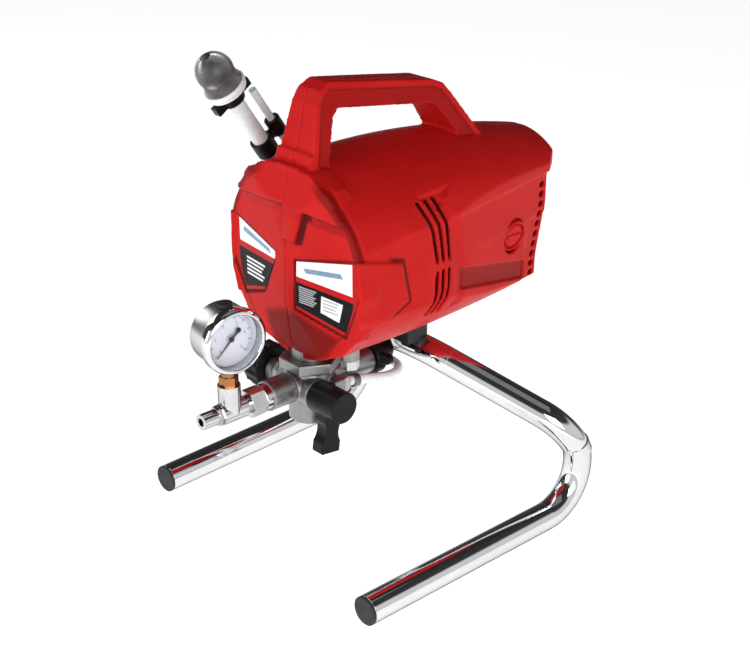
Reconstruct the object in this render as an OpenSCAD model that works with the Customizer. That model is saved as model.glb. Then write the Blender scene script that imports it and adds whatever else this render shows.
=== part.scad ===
// Airless paint sprayer on a bent tube stand: a piston pump driven by an electric motor
// in a two-part moulded housing, with a pressure gauge, a raised suction tube with a
// strainer, a return hose, a prime valve and a pressure regulator.
// +Z is up, -Y is the front (outlet side) and +X is the sprayer's right-hand side.

/* [Housing] */
// Largest radius of the moulded barrel
barrel_r = 85; // [82:0.5:86]
// Thickness of the moulded walls
wall = 3; // [2.5:0.1:3.5]
// Half of the width between the flat flanks
flank_x = 78; // [77:0.5:80]
// Half of the width of the carry handle
grip_half_w = 13; // [11:0.5:15]

/* [Stand] */
// Outside diameter of the chrome tube
tube_d = 25; // [24:0.5:25]
// Wall thickness of the chrome tube
tube_wall = 1.5; // [1.2:0.1:2]
// Half of the distance between the front ends of the feet
foot_x = 136; // [134:1:138]

/* [Drive] */
// Gear module of the reduction stage
gear_module = 1.25; // [1.2:0.01:1.25]
// Teeth of the motor pinion
pinion_teeth = 12; // [12:1:12]
// Teeth of the reduction gear
gear_teeth = 48; // [48:1:48]
// Throw of the crank, half of the piston stroke
crank_throw = 10; // [8:0.5:10]

/* [Pump] */
// Radius of the piston rod
rod_r = 7; // [6:0.5:7]
// Radius of the male hose thread at the outlet
outlet_thread_r = 6.58; // [6.4:0.01:6.8]
// Radius of the pressure gauge bezel
gauge_r = 27.5; // [26:0.5:28]
// Outside radius of the suction tube
suction_r = 7.3; // [6.5:0.1:7.5]
// Outside radius of the return hose
hose_r = 4.3; // [4:0.1:4.4]

/* [Hidden] */
$fn = 64;

centre_shift = 32.75;       // puts the origin below the middle of the whole object
barrel_z = 254;             // height of the barrel and motor axis
front_y = -117;             // front end of the barrel
tail_y = 130;               // rear face of the barrel
visor_y = 147;              // rear end of the overhanging roof
visor_z = 287;              // lower edge of the overhanging roof
rear_y = 152;               // rear face of the switch boss, the rearmost point
nose_y = -128;              // foremost edge of the fascia
pump_y = -104;              // pump axis
gear_gap = gear_module * (pinion_teeth + gear_teeth) / 2;
crank_z = barrel_z - gear_gap;
can_r = 48;                 // outside radius of the motor can
brush_y = 79;               // plane of the carbon brushes
brush_turn = 12;            // the brushes point this far below the horizontal
shaft_r = 5;
crank_r = 7;
run = 0.05;                 // radial clearance of a running fit
port_z = 143;               // axis of the suction port
inlet_y = -92;              // axis of the inlet ball's chamber
outlet_z = 145.5;           // axis of the outlet line
valve_y = -114.5;           // axis of the prime valve
valve_z = 142;
reg_y = -113;               // axis of the pressure regulator
reg_z = 145;
neck_z = 159;               // joint between the pump body and the gear case
tee_y = -188.5;             // axis of the gauge branch
gauge_z = 212;
gauge_turn = -7;            // the dial is turned a little towards the front
tube_r = tube_d / 2;

stand_route = [
    [foot_x, -165, tube_r], [144, 108, tube_r], [140, 70, 88], [0, 10, 146],
    [-140, 70, 88], [-144, 108, tube_r], [-foot_x, -165, tube_r]
];
stand_bends = [42, 50, 70, 50, 42];

strainer_x = -98;
suction_dir = [0, -0.556, 0.831];
suction_end = [strainer_x, -107.8, 378.3];
suction_low = [strainer_x, 47.1, 146.8];
suction_route = [[0, -40, port_z], [0, -20, port_z], suction_low, suction_end];

// Centre line of the soft return hose, from the barb to the clip
hose_route = [
    [20, -80, 142], [20, -66, 139.5], [20, -50, 135], [19, -34, 131], [14, -18, 128],
    [4, -7, 127], [-12, -4, 127], [-34, -8, 130], [-55, -14, 142], [-71, -18, 158],
    [-84, -20, 178], [-95, -21, 200], [-107, -20, 222], [-113, -16, 240],
    [-109, -13, 264], [-101, -23, 290]
];

// ---- helpers ----

function unit(v) = v / norm(v);
function turn(a, b, c) = acos(unit(b - a) * unit(c - b));
function trim(a, b, c, bend) = bend * tan(turn(a, b, c) / 2);
function side_of(v) = abs(v.z) < 0.9 ? unit(cross(v, [0, 0, 1])) : unit(cross(v, [1, 0, 0]));
function frame_at(x, y, z, o) = [
    [x.x, y.x, z.x, o.x], [x.y, y.y, z.y, o.y], [x.z, y.z, z.z, o.z], [0, 0, 0, 1]
];

// Everything inside is placed on a line from a in direction v, as if the line were Z
module along(a, v) {
    x = side_of(unit(v));
    multmatrix(frame_at(x, cross(unit(v), x), unit(v), a)) children();
}

module rod_between(a, b, r, bore = 0) {
    along(a, b - a) linear_extrude(norm(b - a)) ring(r, bore);
}

module ring(r, bore) {
    difference() {
        circle(r);
        if (bore > 0) circle(bore);
    }
}

module elbow(a, b, c, bend, r, bore) {
    u = unit(b - a);
    w = unit(c - b);
    n = unit(w - (w * u) * u);
    start = b - u * trim(a, b, c, bend);
    multmatrix(frame_at(-n, u, cross(-n, u), start + n * bend))
        rotate_extrude(angle = turn(a, b, c)) translate([bend, 0]) ring(r, bore);
}

// A round bar or tube along straight lines, with a rounded bend at each inner point.
// The bends are drawn fuller by seat, and each straight piece is seated 1 mm inside them.
module bent_bar(p, bends, r, bore = 0) {
    last = len(p) - 1;
    seat = 0.05;
    for (i = [0 : last - 1]) {
        u = unit(p[i + 1] - p[i]);
        cut_a = i == 0 ? 0 : trim(p[i - 1], p[i], p[i + 1], bends[i - 1]) - 1;
        cut_b = i == last - 1 ? 0 : trim(p[i], p[i + 1], p[i + 2], bends[i]) - 1;
        rod_between(p[i] + u * cut_a, p[i + 1] - u * cut_b, r - seat,
            bore > 0 ? bore + seat : 0);
    }
    for (i = [1 : last - 1]) elbow(p[i - 1], p[i], p[i + 1], bends[i - 1], r, bore);
}

// Cylinder along +Y from y1 to y2, and along +X from x1 to x2
module y_rod(x, z, y1, y2, r, fn = 64) {
    translate([x, y1, z]) rotate([-90, 0, 0]) cylinder(r = r, h = y2 - y1, $fn = fn);
}

module x_rod(y, z, x1, x2, r, fn = 64) {
    translate([x1, y, z]) rotate([0, 90, 0]) cylinder(r = r, h = x2 - x1, $fn = fn);
}

module box(a, b) {
    translate(a) cube(b - a);
}

// Prism from an outline in the Y-Z plane, x1 to x2
module side_prism(x1, x2) {
    translate([x1, 0, 0]) rotate([90, 0, 90]) linear_extrude(x2 - x1) children();
}

// Prism from an outline in the X-Z plane, y1 to y2
module front_prism(y1, y2) {
    translate([0, y2, 0]) rotate([90, 0, 0]) linear_extrude(y2 - y1) children();
}

module place() {
    translate([0, centre_shift, 0]) children();
}

// ---- housing ----

// Radius of the barrel along its length: fullest behind the handle's front post, with a
// roof that falls further towards the rear than the belly rises
function bow(y, drop) = y < -40
    ? barrel_r - 3 * pow((-40 - y) / 77, 2)
    : barrel_r - drop * pow((y + 40) / 170, 1.9);
roof_drop = 19;
belly_drop = 7;

// Solid of revolution about the barrel's axis, up to y_end
module bowed(drop, y_end, inset, first) {
    steps = [for (k = [0 : 16]) front_y + (y_end - front_y) * k / 16];
    translate([0, 0, barrel_z]) rotate([-90, 0, 0]) rotate_extrude() polygon(concat(
        [[0, first], [bow(front_y, drop) - inset, first]],
        [for (y = steps) [bow(y, drop) - inset, y]],
        [[0, y_end]]
    ));
}

// Plan of the flat flanks, which close in behind the side vents
module flank_plan(inset, rear_half_w, y_end) {
    linear_extrude(420) polygon([
        [-flank_x + inset, -200], [-flank_x + inset, -20], [-rear_half_w + inset, y_end],
        [rear_half_w - inset, y_end], [flank_x - inset, -20], [flank_x - inset, -200]]);
}

module barrel_body(inset) {
    first = front_y + (inset > 0 ? 0 : -3);
    intersection() {
        bowed(belly_drop, tail_y - inset, inset, first);
        flank_plan(inset, 48, tail_y + 1);
        box([-100, -200, 100], [100, 200, 254]);
    }
    intersection() {
        bowed(roof_drop, tail_y - inset, inset, first);
        flank_plan(inset, 49, tail_y + 1);
        box([-100, -200, 250], [100, 200, 400]);
    }
    // the roof runs on past the rear face, with a rounded edge in plan
    intersection() {
        bowed(roof_drop, visor_y - inset, inset, first);
        linear_extrude(420) polygon([
            [-flank_x + 1 + inset, -12], [-58 + inset, 100], [-52 + inset, 130],
            [-40 + inset, visor_y - inset], [40 - inset, visor_y - inset], [52 - inset, 130],
            [58 - inset, 100], [flank_x - 1 - inset, -12]]);
        box([-100, -10, visor_z + inset], [100, 200, 400]);
    }
}

// Front outline of the fascia, right half from the top to the chin
fascia_half = [
    [0, 337], [27, 335], [47, 325], [65, 304], [76, 278], [80, 247], [73, 208],
    [58, 191], [34, 181], [0, 178]
];

module fascia(inset) {
    k = 1 - inset / 80;
    intersection() {
        front_prism(nose_y - 2, front_y + 14) translate([0, barrel_z]) scale([k, k])
            translate([0, -barrel_z]) polygon(concat(
                fascia_half, [for (i = [len(fascia_half) - 2 : -1 : 1])
                    [-fascia_half[i].x, fascia_half[i].y]]));
        translate([0, inset, 0]) linear_extrude(420) polygon([
            [-90, front_y + 14], [-82, front_y - 1], [0, nose_y], [82, front_y - 1],
            [90, front_y + 14]]);
        translate([0, inset, 0]) side_prism(-90, 90) polygon([
            [front_y + 14, 160], [nose_y + 7, 160], [nose_y + 6, 178], [nose_y, 221],
            [nose_y, 262], [nose_y + 2, 306],
            [nose_y + 11, 345], [front_y + 14, 345]]);
    }
}

// Side outline of the carry handle and its finger opening
module handle_outline() {
    polygon([[-119, 318], [-105, 383], [-100, 393], [-90, 399], [20, 382], [32, 377],
        [40, 368], [82, 314], [60, 290], [-90, 290]]);
}

module finger_opening() {
    polygon([[-88, 372], [-82, 377], [16, 363], [25, 358], [56, 318], [-103, 318]]);
}

module handle() {
    difference() {
        intersection() {
            side_prism(-24, 24) handle_outline();
            front_prism(-130, 90) polygon([[-24, 290], [-23, 331], [-grip_half_w, 392],
                [-grip_half_w + 3, 400], [grip_half_w - 3, 400], [grip_half_w, 392],
                [23, 331], [24, 290]]);
        }
        side_prism(-30, 30) finger_opening();
    }
}

module rear_boss() {
    intersection() {
        box([-28, tail_y - 10, 214], [28, rear_y, 252]);
        y_rod(0, 233, tail_y - 12, rear_y + 1, 31);
    }
}

screw_spots = [[-70, 318], [112, 306], [-28, 188], [60, 188]];
neck_r = 16;                // neck of the gear case, through the housing's chin
ear_x = 33;
ear_y = -89;

module shell_solid() {
    difference() {
        union() {
            difference() {
                union() {
                    barrel_body(0);
                    fascia(0);
                }
                barrel_body(wall);
                fascia(wall);
            }
            handle();
            rear_boss();
            intersection() {
                barrel_body(1);
                union() {
                    for (s = screw_spots) x_rod(s.x, s.y, -80, 80, 6);
                    difference() {
                        y_rod(0, barrel_z, -6, -1, barrel_r);
                        y_rod(0, barrel_z, -7, 0, can_r);
                    }
                }
            }
        }
        // the handle is closed below the barrel's skin
        difference() {
            intersection() {
                barrel_body(wall);
                box([-25, -106, 280], [25, 90, 400]);
            }
            for (s = screw_spots) x_rod(s.x, s.y, -80, 80, 6);
            difference() {
                y_rod(0, barrel_z, -6, -1, barrel_r);
                y_rod(0, barrel_z, -7, 0, can_r);
            }
        }
        shell_cuts();
    }
}

module shell_cuts() {
    // pump neck, case ears and stand saddle below
    translate([0, pump_y, 150]) cylinder(r = neck_r + 1.5, h = 48);
    for (s = [-1, 1]) translate([s * ear_x, ear_y, 160]) cylinder(r = 10, h = 40);
    box([-13, -3, 160], [13, 23, 213]);
    // side vents, two groups of three on each side
    for (s = [-1, 1]) for (i = [0 : 2]) {
        side_vent(s, [[-50 + 9 * i, 306], [-41 + 8 * i, 281], [-35 + 6.8 * i, 253]]);
        side_vent(s, [[-35 + 6.8 * i, 247], [-35.5 + 6.8 * i, 228], [-42 + 6.8 * i, 207]]);
    }
    // ring of rear vents
    for (s = [-1, 1]) for (z = [194 : 9 : 275])
        box([s > 0 ? 38 : -60, tail_y - 12, z], [s > 0 ? 60 : -38, tail_y - 3.5, z + 4.5]);
    for (x = [-30 : 10 : 30]) box([x - 2, tail_y - 10, 262], [x + 2, tail_y + 1, 282]);
    // brush caps
    for (s = [-1, 1]) on_brush(s) x_rod(brush_y, barrel_z, 40, 90, 15);
    // switch, cord gland
    box([-13, tail_y - 14, 223], [13, rear_y + 2, 243]);
    y_rod(-18, 199, tail_y - 20, tail_y + 10, 7);
}

// Slot along three points (y, z) on one flank
module side_vent(s, p) {
    reach = s > 0 ? [40, 90] : [-90, -40];
    side_prism(reach[0], reach[1]) polygon([p[0], p[1], p[2],
        p[2] + [3.4, 0], p[1] + [3.4, 0], p[0] + [3.4, 0]]);
}

module screw_holes() {
    for (s = screw_spots) {
        x_rod(s.x, s.y, -90, -30, 4.5);
        x_rod(s.x, s.y, -31, 20, 2);
    }
}

module left_shell() {
    color("firebrick") place() difference() {
        intersection() {
            shell_solid();
            box([-100, -200, 100], [0, 200, 420]);
        }
        screw_holes();
    }
}

module right_shell() {
    color("firebrick") place() difference() {
        intersection() {
            shell_solid();
            box([0, -200, 100], [100, 200, 420]);
        }
        screw_holes();
    }
}

module housing_screws() {
    color("dimgray") place() for (s = screw_spots) {
        difference() {
            x_rod(s.x, s.y, -33, -30, 4);
            for (a = [0, 90]) translate([-32, s.x, s.y]) rotate([a, 0, 0])
                cube([3, 5, 0.9], center = true);
        }
        x_rod(s.x, s.y, -30, 19, 2);
    }
}

// What is drawn along +X is turned about the motor axis to the brush on side s
module on_brush(s) {
    translate([0, 0, barrel_z]) rotate([0, s > 0 ? brush_turn : 180 - brush_turn, 0])
        translate([0, 0, -barrel_z]) children();
}

module brush_caps() {
    color("firebrick") place() for (s = [-1, 1]) on_brush(s) difference() {
        x_rod(brush_y, barrel_z, 52.5, 60.5, 14.7);
        translate([60.5, brush_y, barrel_z]) cube([3, 16, 3], center = true);
        x_rod(brush_y, barrel_z, 51.5, 56, 11);
    }
}

label_outline = [[13, 263], [74, 276], [60, 212], [14, 221]];

// Thin plates that lie on the two sloping faces of the fascia
module label_plates() {
    color("white") place() for (s = [0, 1]) mirror([s, 0, 0]) difference() {
        intersection() {
            front_prism(nose_y - 2, front_y + 6) polygon(label_outline);
            fascia(-0.6);
        }
        fascia(0);
        barrel_body(0);
    }
}

switch_z = 233;

module switch_frame() {
    color("black") place() difference() {
        box([-13, tail_y - 8, switch_z - 10], [13, rear_y, switch_z + 10]);
        box([-10, tail_y - 4, switch_z - 7], [10, rear_y + 1, switch_z + 7]);
    }
}

// Rocker with two pads, rocking about an axis along X
module switch_rocker() {
    color("darkred") place() translate([0, rear_y - 9, switch_z]) intersection() {
        rotate([-10, 0, 0]) side_prism(-9.7, 9.7)
            polygon([[-4, -6], [7, -6], [5, 0], [7, 6], [-4, 6]]);
        x_rod(0, 0, -12, 12, 6.7);
    }
}

module cord_gland() {
    color("black") place() difference() {
        union() {
            y_rod(-18, 199, tail_y - 12, tail_y + 8, 7);
            y_rod(-18, 199, tail_y, tail_y + 4, 10);
        }
        y_rod(-18, 199, tail_y - 17, rear_y + 1, 3.6);
    }
}

// ---- motor ----

module motor_can() {
    color("silver") place() difference() {
        y_rod(0, barrel_z, -38, 102, can_r);
        y_rod(0, barrel_z, -39, 94, 44);
        y_rod(0, barrel_z, 90, 103, 13);
        for (a = [60 : 60 : 300]) if (a != 180) translate([0, brush_y, barrel_z])
            rotate([0, a, 0]) box([30, -14, -8], [60, 14, 8]);
        for (s = [-1, 1]) on_brush(s) x_rod(brush_y, barrel_z, 30, 60, 9);
    }
}

module stator_core() {
    color("gray") place() difference() {
        y_rod(0, barrel_z, -20, 30, 44);
        y_rod(0, barrel_z, -21, 31, 25);
        for (s = [-1, 1]) translate([0, 5, barrel_z + s * 35]) cube([26, 52, 9], center = true);
    }
}

module field_windings() {
    color("sienna") place() for (y = [-31, 30]) difference() {
        y_rod(0, barrel_z, y, y + 11, 41);
        y_rod(0, barrel_z, y - 1, y + 12, 27);
    }
}

module bearing(z, y, outer, inner) {
    difference() {
        y_rod(0, z, y, y + 8, outer);
        y_rod(0, z, y - 1, y + 9, inner);
    }
}

module bearings() {
    color("lightgray") place() {
        bearing(barrel_z, -48, 13, shaft_r + run);
        bearing(barrel_z, 94, 13, shaft_r + run);
        bearing(crank_z, -83, 15, crank_r + run);
        bearing(crank_z, -48, 15, crank_r + run);
    }
}

module armature_shaft() {
    color("lightgray") place() y_rod(0, barrel_z, -64, 118.5, shaft_r);
}

module armature_core() {
    color("gray") place() difference() {
        y_rod(0, barrel_z, -20, 30, 24);
        y_rod(0, barrel_z, -21, 31, shaft_r);
        for (a = [0 : 30 : 330]) translate([0, 5, barrel_z]) rotate([0, a, 0])
            box([17, -26, -1.5], [25, 26, 1.5]);
    }
}

module commutator() {
    color("peru") place() difference() {
        y_rod(0, barrel_z, 69, 89, 15);
        y_rod(0, barrel_z, 68, 90, shaft_r);
    }
}

// Brush with its guide, from the commutator out to the cap
module carbon_brushes() {
    color("dimgray") place() for (s = [-1, 1]) on_brush(s) {
        box([15.3, brush_y - 4, barrel_z - 5], [40, brush_y + 4, barrel_z + 5]);
        difference() {
            x_rod(brush_y, barrel_z, 26, 56, 9);
            box([20, brush_y - 4, barrel_z - 5], [80, brush_y + 4, barrel_z + 5]);
        }
    }
}

module cooling_fan() {
    color("black") place() difference() {
        union() {
            y_rod(0, barrel_z, 105, 118, 10);
            y_rod(0, barrel_z, 105, 107, 40);
            for (a = [0 : 30 : 330]) translate([0, 105, barrel_z]) rotate([0, a, 0])
                box([9, 0, -1], [40, 12, 1]);
        }
        y_rod(0, barrel_z, 104, 119, shaft_r);
    }
}

// ---- reduction gear and crank ----

// Tooth outline of a spur gear: slim trapezoid teeth with ample backlash
function tooth(n, i) = let (r = gear_module * n / 2, p = 360 / n, a = i * p) [
    [r - 1.2 * gear_module, a - 0.30 * p], [r, a - 0.215 * p],
    [r + 0.8 * gear_module, a - 0.10 * p], [r + 0.8 * gear_module, a + 0.10 * p],
    [r, a + 0.215 * p], [r - 1.2 * gear_module, a + 0.30 * p]
];

module gear_outline(n, start) {
    polygon([for (i = [0 : n - 1]) for (q = tooth(n, i))
        [q[0] * cos(q[1] + start), q[0] * sin(q[1] + start)]]);
}

module pinion() {
    color("silver") place() difference() {
        translate([0, -51, barrel_z]) rotate([90, 0, 0]) linear_extrude(12)
            gear_outline(pinion_teeth, -90);
        y_rod(0, barrel_z, -64, -50, shaft_r);
    }
}

module reduction_gear() {
    color("silver") place() difference() {
        translate([0, -52, crank_z]) rotate([90, 0, 0]) linear_extrude(10)
            gear_outline(gear_teeth, 90 + 180 / gear_teeth);
        y_rod(0, crank_z, -63, -51, crank_r);
        for (a = [30 : 60 : 330]) translate([0, -57, crank_z]) rotate([0, a, 0])
            translate([18, 0, 0]) rotate([90, 0, 0]) cylinder(r = 6, h = 12, center = true);
    }
}

module crankshaft() {
    color("lightgray") place() {
        y_rod(0, crank_z, -86, -40, crank_r);
        y_rod(0, crank_z, -94, -86, 16);
        y_rod(crank_throw, crank_z, -98.5, -94, 4);
    }
}

module gear_case() {
    color("darkgray") place() difference() {
        union() {
            y_rod(0, crank_z, -85, -38, 36.5);
            y_rod(0, barrel_z, -70, -38, can_r);
            translate([0, pump_y, neck_z]) cylinder(r = neck_r, h = 190 - neck_z);
            box([-16, pump_y, 176], [16, -80, 190]);
            for (s = [-1, 1]) {
                translate([s * ear_x, ear_y, 171]) cylinder(r = 8, h = 26);
                box([s > 0 ? 14 : -34, ear_y - 4, 182], [s > 0 ? 34 : -14, -76, 194]);
            }
        }
        // gear room, motor side opening and crank bore
        y_rod(0, crank_z, -66, -49, 33);
        y_rod(0, barrel_z, -66, -49, 14);
        y_rod(0, crank_z, -86, -60, 15);
        y_rod(0, crank_z, -48, -37, 15);
        y_rod(0, barrel_z, -48, -37, 13);
        y_rod(0, barrel_z, -50, -47, 8);
        y_rod(0, crank_z, -50, -47, 10);
        translate([0, pump_y, 140]) cylinder(r = 11, h = 60);
        y_rod(0, crank_z, -112, -85, 24);
        for (s = [-1, 1]) translate([s * ear_x, ear_y, 160]) cylinder(r = 3.4, h = 30);
    }
}

module drive_yoke() {
    color("silver") place() difference() {
        box([-22, pump_y - 5, crank_z - 14], [22, pump_y + 5, crank_z + 12]);
        box([-15, pump_y - 6, crank_z - 4.5], [15, pump_y + 6, crank_z + 4.5]);
    }
}

module piston_rod() {
    color("gainsboro") place() translate([0, pump_y, 127])
        cylinder(r = rod_r, h = crank_z - 14 - 127);
}

// ---- pump ----

module pump_body() {
    color("gray") place() difference() {
        union() {
            translate([0, pump_y, 112]) cylinder(r = 19, h = neck_z - 112);
            translate([0, pump_y, 108]) cylinder(r = 12, h = 6, $fn = 6);
            y_rod(0, outlet_z, -128, pump_y, 13);
            y_rod(0, port_z, pump_y, -84, 13);
            x_rod(valve_y, valve_z, 0, 21, 13);
            x_rod(reg_y, reg_z, -21, 0, 12.5);
            box([8, -100, 134], [27, -88, 150]);
        }
        // piston chamber with the seal seat above it
        translate([0, pump_y, 116]) cylinder(r = rod_r + 0.5, h = 40);
        translate([0, pump_y, 142]) cylinder(r = 11, h = 20);
        // cross bores for the outlet, the inlet, the valve and the regulator
        y_rod(0, outlet_z, -140, -120, 8);
        y_rod(0, outlet_z, -121, pump_y, 4);
        y_rod(0, port_z - 16, pump_y, inlet_y, 5.4);
        y_rod(0, port_z, -98, -80, 8);
        translate([0, inlet_y, port_z - 21]) cylinder(r = 5.4, h = 21);
        x_rod(valve_y, valve_z, 9, 22, 4 + run);
        x_rod(reg_y, reg_z, -22, -13, 5 + run);
        y_rod(20, valve_z, -98, -87, 4);
    }
}

module collar_nut() {
    color("darkgray") place() difference() {
        translate([0, pump_y, neck_z]) cylinder(r = 26.5, h = 9.4, $fn = 6);
        translate([0, pump_y, neck_z - 1]) cylinder(r = neck_r, h = 15);
    }
}

module packing_seal() {
    color("ivory") place() difference() {
        translate([0, pump_y, 142]) cylinder(r = 11, h = 14);
        translate([0, pump_y, 141]) cylinder(r = rod_r + run, h = 16);
    }
}

module pump_bolts() {
    color("silver") place() for (s = [-1, 1]) translate([s * ear_x, ear_y, 0]) {
        translate([0, 0, 163]) cylinder(r = 8, h = 8, $fn = 6);
        translate([0, 0, 171]) cylinder(r = 3.4, h = 18);
    }
}

module inlet_ball() {
    color("silver") place() translate([0, inlet_y, port_z - 15]) sphere(r = 4);
}

module outlet_valve() {
    color("gray") place() difference() {
        union() {
            y_rod(0, outlet_z, -152, -128, 13);
            y_rod(0, outlet_z, -128, -120, 8);
        }
        y_rod(0, outlet_z, -153, -136, 8);
        y_rod(0, outlet_z, -137, -124, 5);
        y_rod(0, outlet_z, -125, -119, 3);
    }
}

module outlet_ball() {
    color("silver") place() translate([0, -129, outlet_z]) sphere(r = 4.4);
}

module suction_port() {
    color("darkgray") place() difference() {
        union() {
            y_rod(0, port_z, -84, -40, 12);
            y_rod(0, port_z, -88, -84, 8);
        }
        y_rod(0, port_z, -89, -39, 6);
    }
}

// Ring with three wings, locked over the elbow by a part turn
module wing_nut() {
    color("black") place() difference() {
        union() {
            y_rod(0, port_z, -39.6, -30, 15);
            for (a = [-13, 107, 227]) translate([0, -38, port_z]) rotate([0, a, 0]) {
                box([10, 0, -4.5], [22, 6, 4.5]);
                y_rod(22, 0, 0, 6, 4.5);
            }
        }
        y_rod(0, port_z, -41, -29, 9.6);
    }
}

module suction_elbow() {
    color("black") place() bent_bar([suction_route[0], suction_route[1], suction_route[1]
        + 22 * unit(suction_low - suction_route[1])], [10], 9.5, suction_r);
}

module suction_tube() {
    start = suction_route[1] + 12 * unit(suction_low - suction_route[1]);
    color("whitesmoke", 0.7) place()
        bent_bar([start, suction_low, suction_end], [40], suction_r, suction_r - 1.6);
}

// ---- strainer and clips, all on the line of the suction tube ----

module on_suction(back) {
    along(suction_end - back * suction_dir, suction_dir) children();
}

module strainer_cup() {
    color("gray") place() on_suction(0) difference() {
        union() {
            cylinder(r1 = 17, r2 = 15.2, h = 7);
            cylinder(r = 15.2, h = 15);
            translate([0, 0, 15]) sphere(r = 16);
        }
        translate([0, 0, -1]) cylinder(r = 13.8, h = 14);
        translate([0, 0, 15]) sphere(r = 14.6);
        translate([0, 0, -10]) cylinder(r = 20, h = 10);
    }
}

module strainer_ring() {
    color("white") place() on_suction(7) difference() {
        union() {
            cylinder(r = 17.4, h = 7);
            translate([0, 0, 3]) cylinder(r = 18.4, h = 4);
        }
        translate([0, 0, -1]) cylinder(r = suction_r, h = 9);
    }
}

module strainer_clip() {
    color("black") place() on_suction(18) difference() {
        union() {
            cylinder(r = 10.5, h = 10.8);
            translate([-4, -20, 1]) cube([8, 40, 8]);
        }
        translate([0, 0, -1]) cylinder(r = suction_r, h = 13);
    }
}

return_gap = 19;            // distance between the two parallel tubes
return_side = [0, 0.831, 0.556];
return_r = 3.4;
clip_at = 80;               // distance of the clip's lower end below the strainer
return_foot = suction_end - 90 * suction_dir + return_gap * return_side;

module tube_clip() {
    color("black") place() difference() {
        union() {
            along(suction_end - clip_at * suction_dir, suction_dir) cylinder(r = 10, h = 16);
            along(suction_end - (clip_at - 6) * suction_dir + return_gap * return_side,
                suction_dir) cylinder(r = 7, h = 16);
            rod_between(suction_end - (clip_at - 11) * suction_dir,
                suction_end - (clip_at - 11) * suction_dir + return_gap * return_side, 4.5);
        }
        along(suction_end - (clip_at + 1) * suction_dir, suction_dir)
            cylinder(r = suction_r, h = 20);
        along(return_foot, suction_dir) cylinder(r = return_r, h = 60);
    }
}

module return_tube() {
    color("whitesmoke", 0.7) place() difference() {
        along(return_foot, suction_dir) cylinder(r = return_r, h = 66);
        along(return_foot - suction_dir, suction_dir) cylinder(r = 2.2, h = 68);
    }
}

// ---- return hose, swept along its route ----

hose_sides = 10;
hose_points = concat(hose_route, [return_foot]);
function curve(p, i, t) = let (
        a = p[max(i - 1, 0)], b = p[i], c = p[i + 1], d = p[min(i + 2, len(p) - 1)])
    0.5 * (2 * b + (c - a) * t + (2 * a - 5 * b + 4 * c - d) * t * t
        + (3 * b - a - 3 * c + d) * t * t * t);
function spread(p, per) = concat(
    [for (i = [0 : len(p) - 2]) for (k = [0 : per - 1]) curve(p, i, k / per)],
    [p[len(p) - 1]]);
function heading(c, i) = unit(c[min(i + 1, len(c) - 1)] - c[max(i - 1, 0)]);

module swept_tube(p, r, sides) {
    c = spread(p, 2);
    n = len(c);
    ref = [0.9, 0.96, 0.23];
    rings = [for (i = [0 : n - 1]) let (
            h = heading(c, i), u = unit(cross(h, ref)), v = cross(h, u))
        for (k = [0 : sides - 1])
            c[i] + r * (u * cos(360 * k / sides) + v * sin(360 * k / sides))];
    polyhedron(rings, concat(
        [[for (k = [0 : sides - 1]) k]],
        [for (i = [0 : n - 2]) for (k = [0 : sides - 1]) let (m = (k + 1) % sides)
            [i * sides + k, (i + 1) * sides + k, (i + 1) * sides + m, i * sides + m]],
        [[for (k = [sides - 1 : -1 : 0]) (n - 1) * sides + k]]), convexity = 10);
}

module return_hose() {
    color("whitesmoke", 0.7) place() swept_tube(hose_points, hose_r, hose_sides);
}

module hose_barb() {
    color("silver") place() difference() {
        union() {
            y_rod(20, valve_z, -92, -88, 4);
            y_rod(20, valve_z, -88, -82, 6.8, 6);
            y_rod(20, valve_z, -82, -80, 4);
        }
        y_rod(20, valve_z, -93, -79, 2);
    }
}

module hose_clamp() {
    along_y = hose_points[1] - hose_points[0];
    color("silver") place() difference() {
        along(hose_points[0] + 0.3 * along_y, along_y) cylinder(r = hose_r + 1.5, h = 6);
        along(hose_points[0] + 0.1 * along_y, along_y) cylinder(r = hose_r + 0.1, h = 10);
    }
}

// ---- prime valve and pressure regulator ----

module prime_stem() {
    color("silver") place() x_rod(valve_y, valve_z, 10, 46, 4);
}

lever_tilt = 8;

module prime_knob() {
    color("black") place() difference() {
        union() {
            x_rod(valve_y, valve_z, 22, 55, 13.5);
            translate([0, valve_y, valve_z]) rotate([-lever_tilt, 0, 0]) difference() {
                box([31, -9.5, -44], [44, 9.5, 0]);
                for (s = [-1, 1]) translate([0, s * 22.5, -25]) rotate([0, 90, 0])
                    cylinder(r = 16, h = 100);
            }
        }
        x_rod(valve_y, valve_z, 21, 46, 4);
    }
}

module regulator_body() {
    color("gray") place() difference() {
        union() {
            x_rod(reg_y, reg_z, -37, -21, 11);
            x_rod(reg_y, reg_z, -27, -21, 13, 6);
        }
        x_rod(reg_y, reg_z, -38, -20, 5 + run);
    }
}

module regulator_knob() {
    color("black") place() difference() {
        union() {
            x_rod(reg_y, reg_z, -56, -38, 19);
            x_rod(reg_y, reg_z, -61, -56, 10);
            for (a = [0 : 24 : 336]) translate([-38, reg_y, reg_z]) rotate([a, 0, 0])
                translate([-16, 0, 19]) rotate([0, 90, 0]) cylinder(r = 1.6, h = 14);
        }
        x_rod(reg_y, reg_z, -54, -37, 5 + run);
    }
}

module regulator_plunger() {
    color("silver") place() x_rod(reg_y, reg_z, -50, -17, 5);
}

// ---- outlet line ----

module swivel_nut() {
    color("silver") place() difference() {
        union() {
            y_rod(0, outlet_z, -158, -152, 11.5);
            y_rod(0, outlet_z, -172, -158, 12.2, 6);
            y_rod(0, outlet_z, -152, -140, 8);
        }
        y_rod(0, outlet_z, -173, -139, 5);
    }
}

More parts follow.
